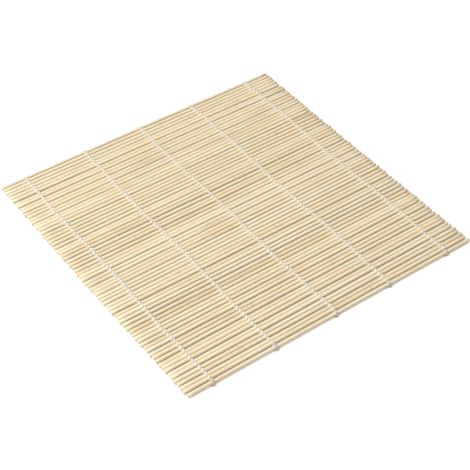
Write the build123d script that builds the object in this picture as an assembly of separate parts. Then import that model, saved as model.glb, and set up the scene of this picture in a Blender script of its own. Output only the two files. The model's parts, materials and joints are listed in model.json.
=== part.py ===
"""Sushi rolling mat: round bamboo slats held side by side by five doubled cotton cords.

Each cord is doubled round the far slat. Its two strands pass over and under the slats in turn,
change places in every gap with the same twist, and are knotted together past the near slat.
The mat lies flat on the undersides of its cords. It bends only where a gap between two groups of
slats lets it, so each group and the stretches of cord round it move as one piece.
"""

import os
from math import acos, asin, ceil, cos, degrees, pi, radians, sin

from build123d import *

# Slats, in millimetres
slat_length = 240.0
slat_diameter = 2.7
slat_end_chamfer = 0.2
slat_count = 70

# Ends that don't line up: a slow drift of the slats along themselves, and unevenly cut ends
end_drift = 1.2
cut_unevenness = 0.9
drift_peak_share = 0.6
left_cut_step_share = 0.618
right_cut_step_share = 0.414

# Cords: where each line crosses the far and the near edge, as shares of the slats from the left
cord_diameter = 0.45
cord_far_shares = (0.078, 0.287, 0.493, 0.691, 0.907)
cord_near_shares = (0.078, 0.287, 0.495, 0.692, 0.910)
underside_flat_depth = 0.1

# Clearances: strand to slat, strand to strand in a gap, and room left where two groups bend
cord_slat_clearance = 0.1
strand_side_clearance = 0.3
bend_clearance = 0.1
strand_end_gap = 0.3

# The tightest bend between two groups, in degrees, when the mat is rolled right up
tightest_bend = 35.0

# Knots past the near edge, each of two turns round the strands, set askew, with two cut tails
knot_turn_radius = 0.5
knot_turn_gap = 0.06
knot_turn_tilt = 10.0
knot_roll = 20.0
knot_end_margin = 0.07
knot_edge_radius = 0.15
tail_start_share = 0.3
tail_length = 1.4
tail_splay = 22.0

# Groups that bend as one: pairs in the near part, which rolls tightest, and threes behind it
near_group_slats = 2
far_group_slats = 3
near_group_count = 14

# Worked out from the sizes above
slat_radius = slat_diameter / 2
cord_radius = cord_diameter / 2
pitch = slat_diameter + cord_diameter + 2 * cord_slat_clearance
half_pitch = pitch / 2
strand_offset = (cord_diameter + strand_side_clearance) / 2
turn_radius = (half_pitch**2 + strand_offset**2) ** 0.5
axis_height = turn_radius + cord_radius - underside_flat_depth
mat_thickness = axis_height + turn_radius + cord_radius

far_reach = half_pitch + cord_radius
knot_turn_spacing = cord_diameter + knot_turn_gap
knot_length = knot_turn_spacing + cord_diameter + 2 * knot_end_margin
knot_start = slat_radius + cord_slat_clearance
knot_middle = knot_start + knot_length / 2
tail_run = knot_length / 2 + tail_length
near_reach = knot_middle + tail_run * cos(radians(tail_splay)) + cord_radius * sin(radians(tail_splay))
mat_depth = far_reach + (slat_count - 1) * pitch + near_reach
far_slat_y = mat_depth / 2 - far_reach


def slat_y(number):
    """Where a slat's axis lies, counted from 0 at the far edge."""
    return far_slat_y - number * pitch


def raw_ends(number):
    """A slat's left and right ends before the mat is centred."""
    along_share = number / (slat_count - 1)
    bow_share = sin(pi * along_share ** (0.5 / drift_peak_share))
    left_share = (number * left_cut_step_share) % 1 - 0.5
    right_share = (number * right_cut_step_share) % 1 - 0.5
    left = -slat_length / 2 - end_drift * bow_share + cut_unevenness * left_share
    right = slat_length / 2 - end_drift * bow_share / 2 + cut_unevenness * right_share
    return left, right


ends = [raw_ends(number) for number in range(slat_count)]
leftmost = min(left for left, right in ends)
rightmost = max(right for left, right in ends)
mat_width = rightmost - leftmost
centring = -(leftmost + rightmost) / 2


def slat(number):
    """One bamboo slat, square cut with its edges broken."""
    left, right = ends[number]
    body = Cylinder(slat_radius, right - left, rotation=(0, 90, 0))
    body = chamfer(body.edges().filter_by(GeomType.CIRCLE), slat_end_chamfer)
    return Pos((left + right) / 2 + centring, slat_y(number), axis_height) * body


def cord_x(line, number):
    """Where one cord's line crosses a slat: straight from its far place to its near place."""
    along_share = number / (slat_count - 1)
    far_share = cord_far_shares[line]
    near_share = cord_near_shares[line]
    share = far_share + (near_share - far_share) * along_share
    return (share - 0.5) * slat_length + centring


def bent_cut():
    """How far round a slat an upper strand starts, in degrees, to clear the next group's slat."""
    slat_distance = pitch * cos(radians(tightest_bend / 2))
    needed = slat_radius + cord_radius + bend_clearance
    cosine = (slat_distance**2 + half_pitch**2 - needed**2) / (2 * slat_distance * half_pitch)
    return tightest_bend / 2 + degrees(acos(cosine))


upper_cut = bent_cut()
lower_cut = degrees(asin(strand_end_gap / half_pitch))


def half_turn(y, back_x, front_x, side, start=0.0, stop=180.0):
    """A round strand over (side 1) or under (side -1) a slat, from the gap behind it to the next."""
    centre = Vector((back_x + front_x) / 2, y, axis_height)
    back = Vector((back_x - front_x) / 2, half_pitch, 0)
    turn_plane = Plane(origin=centre, x_dir=back, z_dir=back.cross(Vector(0, 0, side)))
    section = Plane.XZ * Pos(back.length, 0, 0) * Circle(cord_radius)
    turn = revolve(Rot(0, 0, start) * section, axis=Axis.Z, revolution_arc=stop - start)
    return turn_plane * turn


def strand_turns(count, over_first, back_open=True, front_open=True):
    """The half turns of one strand round a group's slats, the first slat at y = 0.

    An end that is open faces another group, and stops short of the gap that bends.
    """
    turns = []
    for index in range(count):
        over = (index % 2 == 0) == over_first
        side = 1 if over else -1
        cut = upper_cut if over else lower_cut
        start = cut if index == 0 and back_open else 0.0
        stop = 180.0 - cut if index == count - 1 and front_open else 180.0
        back_x = side * strand_offset
        if index == 0 and not back_open:
            back_x = 0.0
        turns.append(half_turn(-index * pitch, back_x, -side * strand_offset, side, start, stop))
    return turns


def cord_along(turns):
    """One cord of half turns that follow each other, flattened where it rests."""
    below = Pos(0, 0, -cord_diameter / 2) * Box(slat_length, mat_depth, cord_diameter)
    return turns[0].fuse(*turns[1:]) - below


def twined_pair(count):
    """The two strands round a group in the middle of the mat, each a solid of its own."""
    return [cord_along(strand_turns(count, over_first)) for over_first in (True, False)]


def far_loop(count):
    """The doubled end of a cord: one strand that comes back round the far slat as the other."""
    above = strand_turns(count, True, back_open=False)
    below = strand_turns(count, False, back_open=False)
    return [cord_along(above[::-1] + below)]


def tail(side):
    """One cut end of a cord, which leaves the knot forwards and to one side."""
    start_x = side * tail_start_share * knot_turn_radius
    upright = Cylinder(cord_radius, tail_run, align=(Align.CENTER, Align.CENTER, Align.MIN))
    return Pos(start_x, 0, 0) * Rot(0, 0, side * tail_splay) * Rot(90, 0, 0) * upright


def knot_turn(side):
    """One turn tied round both strands, in the back (side 1) or the front (side -1) of the knot."""
    turn = Torus(knot_turn_radius, cord_radius, rotation=(90, 0, 0))
    return Pos(0, side * knot_turn_spacing / 2, 0) * Rot(0, 0, knot_turn_tilt) * turn


def knot_core():
    """The filled middle of a knot, round both strands."""
    core = Cylinder(knot_turn_radius, knot_length, rotation=(90, 0, 0))
    return fillet(core.edges().filter_by(GeomType.CIRCLE), knot_edge_radius)


def near_knot(count):
    """The tied end of a cord: both strands round the last slats, knotted in front of them."""
    strands = [
        cord_along(strand_turns(count, over_first, front_open=False))
        for over_first in (True, False)
    ]
    place = Pos(0, -(count - 1) * pitch - knot_middle, axis_height) * Rot(0, knot_roll, 0)
    tied = (place * knot_core()).fuse(*strands)
    tied = tied.fuse(*[place * tail(side) for side in (1, -1)])
    return [tied.fuse(*[place * knot_turn(side) for side in (1, -1)])]


def group_counts():
    """How many slats each group holds, from the far edge to the near edge."""
    near_slats = near_group_count * near_group_slats
    far_group_count = ceil((slat_count - near_slats) / far_group_slats)
    first = slat_count - near_slats - (far_group_count - 1) * far_group_slats
    return [first] + [far_group_slats] * (far_group_count - 1) + [near_group_slats] * near_group_count


def write(name, solids):
    """Write one node's solids, which stay separate, to its STEP file."""
    export_step(Compound(solids), f"parts/{name}.step")


os.makedirs("parts", exist_ok=True)
counts = group_counts()
middle_pairs = {count: twined_pair(count) for count in set(counts[1:-1])}
first_slat = 0
for group, count in enumerate(counts, start=1):
    numbers = range(first_slat, first_slat + count)
    if group == 1:
        stretches = far_loop(count)
    elif group == len(counts):
        stretches = near_knot(count)
    else:
        stretches = middle_pairs[count]
    middle_slat = first_slat + (count - 1) / 2
    places = [Pos(cord_x(line, middle_slat), slat_y(first_slat), 0) for line in range(len(cord_far_shares))]
    write(f"slats_{group:02d}", [slat(number).solid() for number in numbers])
    write(f"cords_{group:02d}", [(place * piece).solid() for place in places for piece in stretches])
    first_slat += count

print(f"mat {mat_width:.2f} x {mat_depth:.2f} x {mat_thickness:.2f} mm, pitch {pitch:.3f} mm")
print(f"bend axes at z {axis_height:.4f} mm, far slat at y {far_slat_y:.4f} mm")
print(f"upper strands start {upper_cut:.1f} degrees round, lower strands {lower_cut:.1f}")
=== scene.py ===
import json
import math
import random

import bpy
import numpy as np
from mathutils import Matrix, Vector


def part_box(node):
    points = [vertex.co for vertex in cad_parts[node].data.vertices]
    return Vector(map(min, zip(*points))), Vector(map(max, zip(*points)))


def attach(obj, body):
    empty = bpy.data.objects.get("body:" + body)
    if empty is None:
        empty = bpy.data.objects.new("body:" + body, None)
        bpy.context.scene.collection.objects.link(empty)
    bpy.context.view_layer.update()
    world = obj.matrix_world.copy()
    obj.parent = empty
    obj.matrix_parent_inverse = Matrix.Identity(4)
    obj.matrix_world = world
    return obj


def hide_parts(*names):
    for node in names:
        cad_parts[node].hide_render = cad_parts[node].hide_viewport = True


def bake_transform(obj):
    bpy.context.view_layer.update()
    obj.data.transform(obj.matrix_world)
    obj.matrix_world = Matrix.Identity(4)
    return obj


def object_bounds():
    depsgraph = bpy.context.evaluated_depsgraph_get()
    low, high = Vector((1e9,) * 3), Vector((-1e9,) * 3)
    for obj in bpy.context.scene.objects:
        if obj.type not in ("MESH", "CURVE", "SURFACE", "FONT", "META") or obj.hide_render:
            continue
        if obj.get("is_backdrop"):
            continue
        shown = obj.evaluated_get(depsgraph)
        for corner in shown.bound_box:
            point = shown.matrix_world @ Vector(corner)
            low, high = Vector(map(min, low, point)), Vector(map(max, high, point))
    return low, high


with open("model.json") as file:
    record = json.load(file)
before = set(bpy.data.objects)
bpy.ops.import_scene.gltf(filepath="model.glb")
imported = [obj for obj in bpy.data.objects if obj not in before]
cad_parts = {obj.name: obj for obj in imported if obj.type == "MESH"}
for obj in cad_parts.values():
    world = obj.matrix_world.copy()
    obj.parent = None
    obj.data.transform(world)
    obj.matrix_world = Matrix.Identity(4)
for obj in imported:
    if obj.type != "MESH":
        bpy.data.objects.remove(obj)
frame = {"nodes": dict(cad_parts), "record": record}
cad_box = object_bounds()


# Bamboo slats.
# Seventy thin sticks split from bamboo and drawn round, so none is quite straight, quite round or
# as thick as the next. Their ends are sawn off square and left raw, with the fibres showing.
MM = 0.001
SLAT_SIDES = 24
RING_SPACING = 6.0 * MM
BROKEN_EDGE = 0.18 * MM
OFF_SIZE = (-0.150 * MM, 0.040 * MM)
SIDE_SHIFT = 0.30 * MM
BOW = (0.03 * MM, 0.10 * MM)
BOW_WAVES = 0.8
KINK_WAVES = 2.1
KINK_SHARE = 0.4
DRIFT = 0.20 * MM
SLEW_DRIFT = 0.17 * MM
BEND_DRIFT = 0.18 * MM
LEAST_GAP = 0.10 * MM
KNOT_PULL = 0.35 * MM
NEAR_THINNING = 0.08 * MM
FAR_SKEW = 0.55 * MM
LIFT_BOW = 0.05 * MM
LIFT_WAVES = 0.9
OVALNESS = (0.0036, 0.018)
FACETS = 5
FACET_DEPTH = 0.006
SAW_SLANT = 0.07 * MM
SAW_CHIP = 0.05 * MM
SLAT_TAPER = 0.025
JOINTED_SHARE = 0.08
OFF_THE_MAT = 1.0
SLAT_SEED = 7

slat_names = sorted(name for name in frame["nodes"] if name.startswith("slats_"))
strip_names = list(frame["record"]["behaviour"]["bodies"])
slat_boxes = [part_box(name) for name in slat_names]
slat_diameter = slat_boxes[0][1].z - slat_boxes[0][0].z
gap = slat_boxes[0][0].y - slat_boxes[1][1].y
pitch = slat_diameter + gap
axis_height = (slat_boxes[0][1].z + slat_boxes[0][0].z) / 2
slat_counts = [round((high.y - low.y + gap) / pitch) for low, high in slat_boxes]
first_slats = [sum(slat_counts[:strip]) for strip in range(len(slat_counts))]

rng = random.Random(SLAT_SEED)


def drift(spread, reach):
    """A value for each stick that wanders slowly along the mat, as the cords' grip does."""
    raw = [rng.uniform(-1, 1) for _ in range(sum(slat_counts) + 2 * reach)]
    smooth = np.convolve(raw, np.hanning(2 * reach + 3)[1:-1], "valid")
    return (smooth - smooth.mean()) / smooth.std() * spread


class Slat:
    """One stick: where its ends are, how thick it is, and how its axis wanders."""

    def __init__(self, y, left, right, slew, bend):
        self.y = y + rng.uniform(-SIDE_SHIFT, SIDE_SHIFT)
        self.left, self.right = left, right
        self.slew, self.bend = slew, bend
        self.radius = (slat_diameter + rng.uniform(*OFF_SIZE)) / 2
        self.taper = rng.uniform(-SLAT_TAPER, SLAT_TAPER)
        self.bow_phase = rng.uniform(0, math.tau)
        self.lift_phase = rng.uniform(0, math.tau)
        self.bow = rng.uniform(*BOW)
        self.oval_turn = rng.uniform(0, math.tau)
        self.oval = rng.uniform(*OVALNESS)
        self.tone = rng.random()
        self.hue = rng.random()
        self.joint_at = rng.uniform(left, right) if rng.random() < JOINTED_SHARE else OFF_THE_MAT

    def along(self, x):
        """The share of the stick that lies left of x."""
        return (x - self.left) / (self.right - self.left)

    def centre(self, x):
        """The axis's y and z at x, for a number or an array. A bend keeps the mean y."""
        turn = self.along(x) * math.tau
        across = 2 * self.along(x) - 1
        y = self.y + self.slew * across + self.bend * (1.5 * across**2 - 0.5)
        kink = KINK_SHARE * np.sin(turn * KINK_WAVES)
        y = y + self.bow * (np.sin(turn * BOW_WAVES + self.bow_phase) + kink)
        z = axis_height + LIFT_BOW * np.sin(turn * LIFT_WAVES + self.lift_phase)
        return y, z

    def thickness(self, x):
        """The mean radius at x."""
        return self.radius * (1 + self.taper * (self.along(x) - 0.5))


shifts, slews, bends = drift(DRIFT, 3), drift(SLEW_DRIFT, 4), drift(BEND_DRIFT, 2)
slats = []
for name, box, count in zip(slat_names, slat_boxes, slat_counts):
    places = np.array([vertex.co[:] for vertex in frame["nodes"][name].data.vertices])
    for index in range(count):
        y = box[1].y - slat_diameter / 2 - index * pitch
        own = places[np.abs(places[:, 1] - y) < slat_diameter / 2 + gap / 4]
        left, right = own[:, 0].min(), own[:, 0].max()
        number = len(slats)
        slats.append(Slat(y + shifts[number], left, right, slews[number], bends[number]))

# No stick touches the next: where two come too near, the one ahead moves on, and then all draw back
# in turn, so that the mat stays as deep. The near stick is a thin one, drawn in by the knots, and
# the far edge lies a little out of square.
PLACES_COMPARED = 40
slats[-1].radius -= NEAR_THINNING
near_edge = slats[-1].y + KNOT_PULL
for behind, ahead in zip(slats, slats[1:]):
    x = np.linspace(max(behind.left, ahead.left), min(behind.right, ahead.right), PLACES_COMPARED)
    space = behind.centre(x)[0] - ahead.centre(x)[0] - behind.thickness(x) - ahead.thickness(x)
    ahead.y -= max(0, LEAST_GAP - space.min())
last_error = near_edge - slats[-1].y
for number, slat in enumerate(slats):
    nearness = number / (len(slats) - 1)
    slat.y += last_error * nearness
    slat.slew += FAR_SKEW * (1 - nearness)


def mesh_piece(name, points, faces, smooth, materials, face_materials=None, values=None):
    """A mesh object from arrays, with named values on its points."""
    mesh = bpy.data.meshes.new(name)
    mesh.from_pydata(points.tolist(), [], faces)
    mesh.polygons.foreach_set("use_smooth", smooth)
    for material in materials:
        mesh.materials.append(material)
    if face_materials is not None:
        mesh.polygons.foreach_set("material_index", face_materials)
    for key, numbers in (values or {}).items():
        layer = mesh.attributes.new(key, "FLOAT", "POINT")
        layer.data.foreach_set("value", np.asarray(numbers, np.float32))
    mesh.update()
    piece = bpy.data.objects.new(name, mesh)
    bpy.context.scene.collection.objects.link(piece)
    return piece


def ring_faces(rings, sides, start):
    """The four-sided faces between rings of points numbered from start."""
    low = start + np.arange(rings - 1)[:, None] * sides
    side = np.arange(sides)[None, :]
    after = (side + 1) % sides
    corners = np.stack([low + side, low + after, low + sides + after, low + sides + side], axis=2)
    return corners.reshape(-1, 4).tolist()


def slat_rings(slat):
    """The points of one stick, ring by ring from its left end to its right end."""
    ring_count = int((slat.right - slat.left) / RING_SPACING)
    inner = np.linspace(slat.left + BROKEN_EDGE, slat.right - BROKEN_EDGE, ring_count)
    stations = np.concatenate([[slat.left], inner, [slat.right]])
    angles = np.linspace(0, math.tau, SLAT_SIDES, endpoint=False)
    shrink = np.ones(len(stations))
    shrink[[0, -1]] = 1 - BROKEN_EDGE / slat.radius
    centre_y, centre_z = slat.centre(stations)
    radius = slat.thickness(stations) * shrink
    shape = 1 + slat.oval * np.cos(2 * (angles - slat.oval_turn))
    shape += FACET_DEPTH * np.cos(FACETS * angles + slat.bow_phase)
    cos_part = np.outer(radius, shape * np.cos(angles))
    sin_part = np.outer(radius, shape * np.sin(angles))
    x = np.repeat(stations[:, None], SLAT_SIDES, axis=1)
    slant = rng.uniform(-SAW_SLANT, SAW_SLANT), rng.uniform(-SAW_SLANT, SAW_SLANT)
    chips = np.array([rng.uniform(0, SAW_CHIP) for _ in range(2 * SLAT_SIDES)])
    x[:2] += slant[0] * np.cos(angles + slat.bow_phase)
    x[-2:] += slant[1] * np.cos(angles + slat.lift_phase)
    x[0] += chips[:SLAT_SIDES]
    x[-1] -= chips[SLAT_SIDES:]
    return np.stack([x, centre_y[:, None] + cos_part, centre_z[:, None] + sin_part], axis=2)


class Value:
    """A number in a material, so that shader maths reads as ordinary sums."""

    def __init__(self, finish, socket):
        self.finish, self.socket = finish, socket

    def maths(self, operation, *numbers):
        return self.finish.add("ShaderNodeMath", {"operation": operation}, dict(enumerate(numbers)))

    def __add__(self, other):
        return self.maths("ADD", self, other)

    def __sub__(self, other):
        return self.maths("SUBTRACT", self, other)

    def __rsub__(self, other):
        return self.maths("SUBTRACT", other, self)

    def __mul__(self, other):
        return self.maths("MULTIPLY", self, other)

    def __abs__(self):
        return self.maths("ABSOLUTE", self)

    __radd__ = __add__
    __rmul__ = __mul__

    def between(self, low, high):
        """0 below low, 1 above high, and smooth between them."""
        ranged = {"interpolation_type": "SMOOTHSTEP"}
        inputs = {"Value": self, "From Min": low, "From Max": high}
        return self.finish.add("ShaderNodeMapRange", ranged, inputs)


class Finish:
    """One procedural material or the world's, and the ways to add nodes to it."""

    def __init__(self, name, kind=bpy.data.materials):
        self.material = kind.new(name)
        self.material.use_nodes = True
        self.tree = self.material.node_tree
        self.tree.nodes.clear()

    def add(self, kind, settings=None, inputs=None, output=0):
        """A node with its settings made first and then its inputs given or linked."""
        node = self.tree.nodes.new(kind)
        for key, value in (settings or {}).items():
            setattr(node, key, value)
        for key, value in (inputs or {}).items():
            if isinstance(value, Value):
                self.tree.links.new(value.socket, node.inputs[key])
            else:
                node.inputs[key].default_value = value
        return Value(self, node.outputs[output]) if node.outputs else None

    def mix(self, share, first, second):
        """A colour between two, by a share of the second."""
        inputs = {"Factor": share, 6: first, 7: second}
        return self.add("ShaderNodeMix", {"data_type": "RGBA"}, inputs, output=2)

    def stretched(self, scales):
        """The place on the piece, in metres, multiplied along each axis."""
        place = self.add("ShaderNodeTexCoord", output="Object")
        return self.add("ShaderNodeVectorMath", {"operation": "MULTIPLY"}, {0: place, 1: scales})

    def noise(self, scales, seed, detail=2.0, roughness=0.5):
        """Noise of its own, with so many blotches in a metre along each axis."""
        inputs = {"Vector": self.stretched(scales), "W": seed, "Scale": 1.0}
        inputs |= {"Detail": detail, "Roughness": roughness}
        return self.add("ShaderNodeTexNoise", {"noise_dimensions": "4D"}, inputs)

    def named(self, attribute):
        """A value that the mesh holds at its points."""
        return self.add("ShaderNodeAttribute", {"attribute_name": attribute}, output="Fac")

    def seen(self):
        """1 where the camera looks, straight or in a gloss, and 0 where light falls on a piece."""
        kinds = ("Camera", "Glossy", "Transmission")
        rays = [self.add("ShaderNodeLightPath", output=f"Is {kind} Ray") for kind in kinds]
        return rays[0] + rays[1] + rays[2]

    def finish(self, **inputs):
        """The surface shader, with its inputs named in words joined by low lines."""
        named = {key.replace("_", " "): value for key, value in inputs.items()}
        shader = self.add("ShaderNodeBsdfPrincipled", None, named)
        self.add("ShaderNodeOutputMaterial", None, {"Surface": shader})
        return self.material


# Raw bamboo: cream to straw, in long patches, with fine fibres along the stick, and in a few sticks
# the thin dark ring of a joint.
CREAM = (0.885, 0.785, 0.59, 1)
STRAW = (0.80, 0.655, 0.42, 1)
PEACH = (0.86, 0.67, 0.47, 1)
GOLDEN = (0.87, 0.69, 0.43, 1)
GREENISH = (0.78, 0.745, 0.50, 1)
TAN = (0.58, 0.43, 0.25, 1)
BROWN = (0.34, 0.21, 0.11, 1)
JOINT_WIDTH = (1.2 * MM, 0.2 * MM)
JOINT_WAVER = 1.6 * MM

bamboo = Finish("raw_bamboo")
tone = bamboo.named("tone")
hue = bamboo.named("hue")
fibres = bamboo.noise((110, 4200, 4200), 1.0, detail=4.0, roughness=0.6)
bands = bamboo.noise((26, 900, 900), 2.0)
peach_patch = bamboo.noise((24, 260, 260), 3.0, detail=1.0) + hue * 0.12
golden_patch = bamboo.noise((20, 200, 200), 6.0, detail=2.0) + hue * 0.06
green_patch = bamboo.noise((30, 260, 260), 4.0, detail=1.0) - hue * 0.08
flecks = bamboo.noise((90, 7000, 7000), 7.0, detail=2.0, roughness=0.7)
dull_patch = bamboo.noise((16, 180, 180), 5.0, detail=3.0)
wood = bamboo.mix(tone * 0.55, CREAM, STRAW)
wood = bamboo.mix(peach_patch.between(0.58, 0.82) * 0.7, wood, PEACH)
wood = bamboo.mix(golden_patch.between(0.54, 0.76) * 0.6, wood, GOLDEN)
wood = bamboo.mix(green_patch.between(0.54, 0.76) * 0.5, wood, GREENISH)
wood = bamboo.mix(dull_patch.between(0.52, 0.8) * 0.45, wood, TAN)
wood = bamboo.mix(bands.between(0.5, 0.75) * 0.25, wood, TAN)
wood = bamboo.mix(fibres.between(0.5, 0.8) * 0.5, wood, TAN)
wood = bamboo.mix(flecks.between(0.66, 0.8) * 0.5, wood, BROWN)
place = bamboo.add("ShaderNodeTexCoord", output="Object")
along = bamboo.add("ShaderNodeSeparateXYZ", None, {"Vector": place})
from_joint = abs(along - bamboo.named("joint_at")) + (fibres - 0.5) * JOINT_WAVER
wood = bamboo.mix(from_joint.between(*JOINT_WIDTH) * 0.3, wood, BROWN)
grain = fibres * 0.7 + bands * 0.3
bamboo_material = bamboo.finish(
    Base_Color=wood,
    Roughness=0.42 + 0.25 * fibres,
    Normal=bamboo.add("ShaderNodeBump", None, {"Strength": 0.35, "Distance": 0.08 * MM, "Height": grain}),
)

# Sawn ends: the fibre bundles show as tan dots in paler pith.
SAWN_PITH = (0.84, 0.75, 0.56, 1)
sawn = Finish("sawn_bamboo_end")
bundles = sawn.stretched((3200, 3200, 3200))
dots = sawn.add("ShaderNodeTexVoronoi", None, {"Vector": bundles, "Scale": 1.0})
fuzz = sawn.noise((2500, 2500, 2500), 1.0)
ends_colour = sawn.mix(dots.between(0.42, 0.15) * 0.55, SAWN_PITH, TAN)
sawn_material = sawn.finish(
    Base_Color=sawn.mix(fuzz.between(0.4, 0.8) * 0.4, ends_colour, STRAW),
    Roughness=0.85,
    Normal=sawn.add("ShaderNodeBump", None, {"Strength": 0.6, "Distance": 0.1 * MM, "Height": dots + fuzz}),
)

for name, strip, count, first in zip(slat_names, strip_names, slat_counts, first_slats):
    points, faces, smooth, face_materials = [], [], [], []
    values = {"tone": [], "hue": [], "joint_at": []}
    for slat in slats[first : first + count]:
        rings = slat_rings(slat)
        start = sum(len(part) for part in points)
        last = start + (len(rings) - 1) * SLAT_SIDES
        side_faces = ring_faces(len(rings), SLAT_SIDES, start)
        left_end = tuple(range(start, start + SLAT_SIDES))[::-1]
        right_end = tuple(range(last, last + SLAT_SIDES))
        faces += side_faces + [left_end, right_end]
        smooth += [True] * len(side_faces) + [False, False]
        face_materials += [0] * len(side_faces) + [1, 1]
        points.append(rings.reshape(-1, 3))
        for key in values:
            values[key] += [getattr(slat, key)] * rings[..., 0].size
    piece = mesh_piece(
        f"{name}_bamboo", np.concatenate(points), faces, smooth,
        [bamboo_material, sawn_material], face_materials, values,
    )
    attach(piece, strip)
    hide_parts(name)


# Cotton cords.
# Five lengths of soft plied cotton, each doubled round the far slat. The two strands cross in every
# gap with the same twist, so one goes over each slat while the other goes under it, pressed flat.
STRAND_WIDTH = 1.65 * MM
STRAND_THICKNESS = 0.74 * MM
WIDTH_IN_GAP = 1.30 * MM
THICKNESS_IN_GAP = 0.64 * MM
STRAND_SIDES = 18
RINGS_PER_TURN = 36
CROSSING_OFFSET = 0.70 * MM
SLACKNESS = 0.72
PLIES = 3
PLY_DEPTH = 0.22
PLY_ROUNDNESS = 0.7
LAY_LENGTH = 3.4 * MM
LAYS_PER_SLAT = 1.45
LAY_STEP = 0.3
WANDER = 0.5 * MM
WANDER_RATE = 0.17
WAVER_RATE = 0.61
JITTER = 0.14 * MM
LEAST_LINE_SPACING = 10 * MM

cord_names = [name.replace("slats", "cords") for name in slat_names]


def line_places(name):
    """Where each cord line crosses a strip, from the clusters of its solids along X."""
    across = np.sort(np.array([vertex.co.x for vertex in frame["nodes"][name].data.vertices]))
    breaks = np.flatnonzero(np.diff(across) > LEAST_LINE_SPACING)
    starts = np.concatenate([[0], breaks + 1])
    stops = np.concatenate([breaks, [len(across) - 1]])
    return (across[starts] + across[stops]) / 2


middle_slats = [first + (count - 1) / 2 for first, count in zip(first_slats, slat_counts)][1:-1]
middle_places = [line_places(name) for name in cord_names[1:-1]]
line_slopes, line_starts = np.polyfit(middle_slats, middle_places, 1)
LINES = range(len(line_starts))
wander_phases = [rng.uniform(0, math.tau) for _ in LINES]
jitters = np.array([[rng.uniform(-1, 1) * JITTER for _ in range(len(slats) + 2)] for _ in LINES])


def line_x(line, number):
    """Where a cord line crosses slat number, a number or an array."""
    phase = wander_phases[line]
    sway = np.sin(number * WANDER_RATE + phase) + np.sin(number * WAVER_RATE + 2 * phase) / 2
    jitter = np.interp(number, np.arange(len(slats) + 2) - 0.5, jitters[line])
    return line_starts[line] + line_slopes[line] * number + WANDER * sway + jitter


def gap_at(line, number):
    """The middle and the half width of the gap behind slat number, where a cord line passes."""
    def face(index, side):
        x = line_x(line, index)
        return slats[index].centre(x)[0] + side * slats[index].thickness(x)

    if number == 0:
        return face(0, 1) + THICKNESS_IN_GAP / 2, THICKNESS_IN_GAP / 2
    if number == len(slats):
        return face(len(slats) - 1, -1) - THICKNESS_IN_GAP / 2, THICKNESS_IN_GAP / 2
    ahead, behind = face(number, 1), face(number - 1, -1)
    return (ahead + behind) / 2, min(THICKNESS_IN_GAP, behind - ahead) / 2


gaps = np.array([[gap_at(line, number) for number in range(len(slats) + 1)] for line in LINES])


def strand(line, over_even, start, stop):
    """One strand from start to stop, counted in slats from the far edge: middle, half sizes, lay."""
    steps = max(2, round(abs(stop - start) * RINGS_PER_TURN) + 1)
    points, sizes = np.empty((steps, 3)), np.empty((steps, 2))
    travels = np.linspace(start, stop, steps)
    for row, travel in enumerate(travels):
        number = min(int(travel), len(slats) - 1)
        turn = (travel - number) * math.pi
        side = 1 if (number % 2 == 0) == over_even else -1
        x = line_x(line, travel - 0.5)
        slat = slats[number]
        back, back_half = gaps[line][number]
        front, front_half = gaps[line][number + 1]
        pressed = abs(math.sin(turn))
        gap_half = back_half if turn < math.pi / 2 else front_half
        half_thick = gap_half + (STRAND_THICKNESS / 2 - gap_half) * pressed
        half_wide = (WIDTH_IN_GAP + (STRAND_WIDTH - WIDTH_IN_GAP) * pressed) / 2
        swing = side * CROSSING_OFFSET * math.cos(turn)
        if number == 0:
            swing = side * CROSSING_OFFSET * (math.cos(turn) - 1) / 2
        reach = (back - front) / 2 * math.cos(turn)
        rise = side * (slat.thickness(x) + STRAND_THICKNESS / 2) * pressed**SLACKNESS
        points[row] = x + swing, (back + front) / 2 + reach, slat.centre(x)[1] + rise
        sizes[row] = half_wide, half_thick
    return points, sizes, travels * LAYS_PER_SLAT + LAY_STEP * line + over_even / 2


def lay_on(points, lay):
    """The lay along a free stretch, in turns, from the lay where it starts."""
    steps = np.linalg.norm(np.diff(points, axis=0), axis=1)
    return lay + np.cumsum(steps) / LAY_LENGTH


def cord_tube(points, sizes, lay, sides=STRAND_SIDES):
    """Rings of points round a strand's middle, shaped by its plies, which wind round each other."""
    tangent = np.gradient(points, axis=0)
    tangent /= np.linalg.norm(tangent, axis=1)[:, None]
    sideways = np.array([1.0, 0.0, 0.0]) - tangent[:, :1] * tangent
    sideways /= np.linalg.norm(sideways, axis=1)[:, None]
    upward = np.cross(tangent, sideways)
    angles = np.linspace(0, math.tau, sides, endpoint=False)
    ply_turn = PLIES / 2 * (angles - math.tau * np.reshape(lay, (-1, 1)))
    crest = np.abs(np.cos(ply_turn)) ** PLY_ROUNDNESS
    size = 1 - PLY_DEPTH + PLY_DEPTH * crest
    wide = (sizes[:, :1] * size * np.cos(angles))[..., None] * sideways[:, None, :]
    thick = (sizes[:, 1:] * size * np.sin(angles))[..., None] * upward[:, None, :]
    return points[:, None, :] + wide + thick, crest


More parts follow.
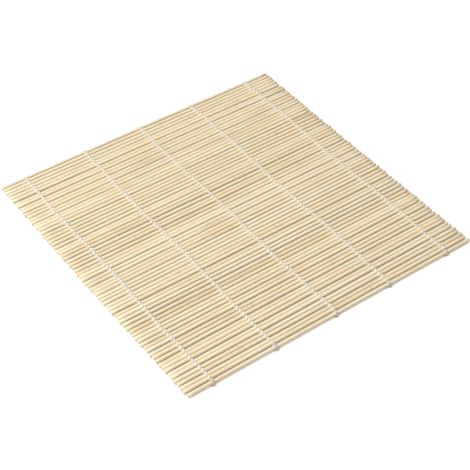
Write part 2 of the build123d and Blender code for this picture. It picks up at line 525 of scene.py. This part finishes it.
class CordMesh:
    """Tubes gathered into one piece, each closed at both ends and flat where it rests on the table."""

    def __init__(self, shade_and_grime=0.0):
        self.points, self.faces, self.crests, self.count = [], [], [], 0
        self.shade_and_grime = shade_and_grime

    def add(self, rings, crest):
        """Adds one tube and closes its ends."""
        amount, sides = rings.shape[:2]
        last = self.count + (amount - 1) * sides
        self.faces += ring_faces(amount, sides, self.count)
        self.faces.append(list(range(self.count, self.count + sides))[::-1])
        self.faces.append(list(range(last, last + sides)))
        rings[..., 2] = np.maximum(rings[..., 2], 0)
        self.points.append(rings.reshape(-1, 3))
        self.crests.append(crest.reshape(-1))
        self.count += amount * sides

    def piece(self, name, replaced):
        """The mesh object, which takes the place of the solids named."""
        values = {"crest": np.concatenate(self.crests), "shade_and_grime": np.full(self.count, self.shade_and_grime)}
        smooth = [True] * len(self.faces)
        points = np.concatenate(self.points)
        made = mesh_piece(name, points, self.faces, smooth, [cotton_material], values=values)
        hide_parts(*replaced)
        return made


# Undyed cotton: off-white and matt, with grey soil in patches and painted shade down between its plies. The
# knots are painted greyer, partly for handling dirt and partly as painted shade.
COTTON = (0.84, 0.785, 0.675, 1)
COTTON_SHADE_AND_SOIL = (0.62, 0.57, 0.50, 1)
COTTON_GREY = (0.47, 0.45, 0.40, 1)

cotton = Finish("cotton_cord")
crest_height = cotton.named("crest")
fluff = cotton.noise((5200, 5200, 5200), 1.0, detail=3.0, roughness=0.6)
soil = cotton.noise((160, 160, 160), 2.0)
# Painted shade: where the crest value is low, down between the plies, the cotton is darkened.
thread = cotton.mix(crest_height.between(0.75, 0.1) * 0.5, COTTON, COTTON_SHADE_AND_SOIL)
thread = cotton.mix(soil.between(0.5, 0.8) * 0.3, thread, COTTON_SHADE_AND_SOIL)
# Painted shade and handling dirt: a value on the knots' points turns them grey, darker than the rest of the
# cotton, because they hang below the near slat out of the light.
thread = cotton.mix(cotton.named("shade_and_grime"), thread, COTTON_GREY)
cotton_material = cotton.finish(
    Base_Color=thread,
    Roughness=0.9,
    Normal=cotton.add("ShaderNodeBump", None, {"Strength": 0.5, "Distance": 0.06 * MM, "Height": fluff}),
)

cuts = [first + count / 2 for first, count in zip(first_slats, slat_counts)]

# Loops round the far slat, where each cord is doubled.
loops = CordMesh()
for line in LINES:
    out, back = strand(line, True, cuts[0], 0), strand(line, False, 0, cuts[0])
    doubled = [np.concatenate([going, coming[1:]]) for going, coming in zip(out, back)]
    loops.add(*cord_tube(*doubled))
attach(loops.piece("cord_loops_far_edge", [cord_names[0]]), strip_names[0])

# Stretches over each bend, from the middle of one strip of slats to the middle of the next.
for strip in range(len(strip_names) - 1):
    bend = CordMesh()
    for line in LINES:
        for over_even in (True, False):
            bend.add(*cord_tube(*strand(line, over_even, cuts[strip], cuts[strip + 1])))
    replaced = [cord_names[strip + 1]] if strip + 2 < len(strip_names) else []
    piece = bend.piece(f"cords_at_bend_{strip + 1:02d}", replaced)
    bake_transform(piece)

# Knots past the near slat: one strand wraps the other twice, and both are cut short and fray.
KNOT_TURNS = 2.0
KNOT_RINGS_PER_TURN = 26
KNOT_STRAND = 0.36 * MM
WRAP_RADIUS = 0.56 * MM
WRAP_ADVANCE = 0.46 * MM
WRAP_START = (0.6, 1.4)
WRAP_UNEVENNESS = 0.08
WRAP_WAVES = 1.7
WRAP_SWAY = 0.10 * MM
WRAP_LEAD = 5
ONTO_RINGS = 10
CORE_RINGS = 16
TAIL_RINGS = 14
FADE_RINGS = 8
# How grey the knots are painted, for handling dirt and as painted shade.
KNOT_SHADE_AND_GRIME = 0.6
KNOT_SEED = 50
KNOT_TIGHTNESS = 0.05 * MM
KNOT_LEAD = 0.3 * MM
KNOT_DROOP = math.radians(60)
TAIL_LENGTH = 0.40 * MM
TAIL_LEAD = 0.4 * MM
TAIL_TURN = 0.5 * MM
TAIL_SPLAY = 0.75
TAIL_END_SHARES = (1.08, 1.14, 1.1, 0.8)
FRAY_FIBRES = 18
FRAY_ROOT = 0.1 * MM
FRAY_WIDTH_SHARE = 0.6
FRAY_FORWARD = 1.2
FRAY_LENGTH = 0.45 * MM
FRAY_SAG = 0.12 * MM
FIBRE_SHARES = (0.2, 0.18, 0.15, 0.12, 0.07)

sideways = np.array([1.0, 0.0, 0.0])
forward = np.array([0.0, -math.cos(KNOT_DROOP), -math.sin(KNOT_DROOP)])
upward = np.cross(forward, sideways)


def smooth_way(corners, steps):
    """A smooth way through a few corner points, near them but not through the middle ones."""
    share = np.linspace(0, 1, steps)[:, None]
    degree = len(corners) - 1
    way = 0
    for index, corner in enumerate(corners):
        weight = math.comb(degree, index) * share**index * (1 - share) ** (degree - index)
        way = way + weight * np.asarray(corner)
    return way


knots = CordMesh(shade_and_grime=KNOT_SHADE_AND_GRIME)
lead = np.array([0, -KNOT_LEAD, 0])
first_over = len(slats) % 2 == 1
for line in LINES:
    tie = random.Random(KNOT_SEED + line)
    strands = [strand(line, over, cuts[-1], len(slats)) for over in (first_over, not first_over)]
    ends = [points[-1] for points, sizes, lay in strands]
    start = (ends[0] + ends[1]) / 2 - forward * KNOT_TIGHTNESS
    turns = np.linspace(0, KNOT_TURNS, round(KNOT_TURNS * KNOT_RINGS_PER_TURN))[:, None]
    phase = math.tau * turns + tie.uniform(*WRAP_START)
    uneven = 1 + WRAP_UNEVENNESS * np.sin(phase * WRAP_WAVES + line)
    wrap = start + forward * (turns * WRAP_ADVANCE + WRAP_SWAY * np.sin(phase))
    wrap = wrap + WRAP_RADIUS * uneven * (sideways * np.cos(phase) + upward * np.sin(phase))
    core_end = start + forward * WRAP_ADVANCE * KNOT_TURNS
    before_wrap = wrap[0] - (wrap[1] - wrap[0]) * WRAP_LEAD
    onto = smooth_way([ends[0], ends[0] + lead, before_wrap, wrap[0]], ONTO_RINGS)
    core = smooth_way([ends[1], ends[1] + lead, start, core_end], CORE_RINGS)
    for (points, sizes, lay), inside, splay in (
        (strands[0], [onto[1:], wrap[1:]], 1), (strands[1], [core[1:]], -1),
    ):
        inner = np.concatenate([points, *inside])
        leaving = inner[-1] - inner[-2]
        leaving /= np.linalg.norm(leaving)
        way = forward + sideways * splay * TAIL_SPLAY * tie.uniform(0.6, 1.4)
        way = way + upward * tie.uniform(-0.35, 0.1)
        tip = core_end + way * TAIL_LENGTH * tie.uniform(0.8, 1.05)
        bent = [inner[-1], inner[-1] + leaving * TAIL_LEAD, core_end + way * TAIL_TURN, tip]
        tail = smooth_way(bent, TAIL_RINGS)
        whole = np.concatenate([inner, tail[1:]])
        tied = np.full((len(whole) - len(points), 2), KNOT_STRAND)
        tied[-len(TAIL_END_SHARES) :] *= np.array(TAIL_END_SHARES)[:, None]
        fade = np.linspace(0, 1, FADE_RINGS + 1)[1:, None]
        tied[:FADE_RINGS] = sizes[-1] + (tied[:FADE_RINGS] - sizes[-1]) * fade
        lay = np.concatenate([lay, lay_on(whole[len(points) - 1 :], lay[-1])])
        knots.add(*cord_tube(whole, np.concatenate([sizes, tied]), lay))
        for fibre in range(FRAY_FIBRES):
            aside = sideways * tie.uniform(-1, 1) + upward * tie.uniform(-1, 1)
            root = tip + aside * KNOT_STRAND * FRAY_WIDTH_SHARE
            spread = way * FRAY_FORWARD + sideways * tie.uniform(-1, 1) + upward * tie.uniform(-1, 0.6)
            reach = np.linspace(0, 1, len(FIBRE_SHARES))[:, None]
            hair = root - way * FRAY_ROOT + spread * reach * FRAY_LENGTH * tie.uniform(0.4, 0.9)
            hair = hair - upward * reach**2 * FRAY_SAG
            thin = KNOT_STRAND * np.array(FIBRE_SHARES)
            knots.add(*cord_tube(hair, np.stack([thin, thin], axis=1), np.zeros(len(hair)), sides=5))
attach(knots.piece("cord_knots_near_edge", [cord_names[-1]]), strip_names[-1])


# Table and backdrop.
# A pale matt sheet that fades to white away from the mat. Under the sticks, where the sky is covered,
# the glow goes, so that the gaps between them stay dark.
TABLE_HALF_SIDE = 3.0
TABLE_WHITE = (0.80, 0.80, 0.80, 1)
GLOW_WHITE = (1, 1, 1, 1)
NEAR_GLOW = 0.40
FAR_GLOW = 0.45
GLOW_RISE = (0.16, 0.9)
COVER_REACH = 3.5 * MM
COVER_SAMPLES = 8
OPEN_SKY = (0.28, 0.6)

floor_mesh = bpy.data.meshes.new("table")
sides = ((-1, -1), (1, -1), (1, 1), (-1, 1))
corners = [(TABLE_HALF_SIDE * x, TABLE_HALF_SIDE * y, 0) for x, y in sides]
floor_mesh.from_pydata(corners, [], [(0, 1, 2, 3)])
table = bpy.data.objects.new("table", floor_mesh)
bpy.context.scene.collection.objects.link(table)
pale = Finish("pale_table")
matt = pale.add("ShaderNodeBsdfDiffuse", None, {"Color": TABLE_WHITE})
place = pale.add("ShaderNodeTexCoord", output="Object")
from_middle = pale.add("ShaderNodeVectorMath", {"operation": "LENGTH"}, {0: place}, output="Value")
covering = {"samples": COVER_SAMPLES}
uncovered = pale.add("ShaderNodeAmbientOcclusion", covering, {"Distance": COVER_REACH}, output="AO")
open_glow = NEAR_GLOW + from_middle.between(*GLOW_RISE) * FAR_GLOW
glow_strength = uncovered.between(*OPEN_SKY) * open_glow
glow = pale.add("ShaderNodeEmission", None, {"Color": GLOW_WHITE, "Strength": glow_strength})
bright = pale.add("ShaderNodeAddShader", None, {0: matt, 1: glow})
surface = pale.add("ShaderNodeMixShader", None, {0: pale.seen(), 1: matt, 2: bright})
pale.add("ShaderNodeOutputMaterial", None, {"Surface": surface})
floor_mesh.materials.append(pale.material)
table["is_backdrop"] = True


# Soft studio light.
# A white tent all round gives the plain level, and three square lamps stand off the mat, the main one
# high behind it. The picture sees the tent as white.
TENT_LEVEL = 0.235
TENT_WHITE = (1, 1, 1, 1)
tent = Finish("tent", bpy.data.worlds)
lit = tent.add("ShaderNodeBackground", None, {"Color": TENT_WHITE, "Strength": TENT_LEVEL})
white = tent.add("ShaderNodeBackground", None, {"Color": TENT_WHITE, "Strength": 1.0})
sky = tent.add("ShaderNodeMixShader", None, {0: tent.seen(), 1: lit, 2: white})
tent.add("ShaderNodeOutputWorld", None, {"Surface": sky})
bpy.context.scene.world = tent.material


def soft_box(name, place, size, power):
    """A square lamp that faces the mat's middle."""
    lamp = bpy.data.lights.new(name, "AREA")
    lamp.shape = "SQUARE"
    lamp.size = size
    lamp.energy = power
    holder = bpy.data.objects.new(name, lamp)
    holder.location = place
    holder.rotation_euler = Vector(place).to_track_quat("Z", "Y").to_euler()
    bpy.context.scene.collection.objects.link(holder)


soft_box("back_lamp", place=(-1.02, 0.62, 1.5), size=0.6, power=29.6)
soft_box("top_lamp", place=(0.1, 0.1, 1.6), size=0.8, power=5.2)
soft_box("front_lamp", place=(-0.7, -0.9, 0.8), size=0.9, power=3.9)


# Camera.
# It stands in front of the mat and to its left, and looks down so that the mat's four corners fall
# where they do in the photograph.
SENSOR_WIDTH = 36.0
CAMERA_AZIMUTH = math.radians(-38.45)
CAMERA_ELEVATION = math.radians(44.21)
CAMERA_ROLL = math.radians(2.53)
CAMERA_DISTANCE = 0.8723
CAMERA_TARGET = Vector((-0.00936, -0.01604, 0))
FOCAL_PIXELS = 1251.5
PICTURE_PIXELS = 470

lens = bpy.data.cameras.new("camera")
lens.sensor_width = SENSOR_WIDTH
lens.lens = SENSOR_WIDTH * FOCAL_PIXELS / PICTURE_PIXELS
camera = bpy.data.objects.new("camera", lens)
backward = Vector((
    math.sin(CAMERA_AZIMUTH) * math.cos(CAMERA_ELEVATION),
    -math.cos(CAMERA_AZIMUTH) * math.cos(CAMERA_ELEVATION),
    math.sin(CAMERA_ELEVATION),
))
level = Vector((math.cos(CAMERA_AZIMUTH), math.sin(CAMERA_AZIMUTH), 0))
upright = backward.cross(level)
across = level * math.cos(CAMERA_ROLL) + upright * math.sin(CAMERA_ROLL)
upright = backward.cross(across)
camera.matrix_world = Matrix.Translation(CAMERA_TARGET + backward * CAMERA_DISTANCE) @ Matrix(
    (across, upright, backward)
).transposed().to_4x4()
bpy.context.scene.collection.objects.link(camera)
bpy.context.scene.camera = camera
bpy.context.scene.view_settings.view_transform = "Standard"

sizes = {"cad": [list(corner) for corner in cad_box], "visual": [list(corner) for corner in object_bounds()]}
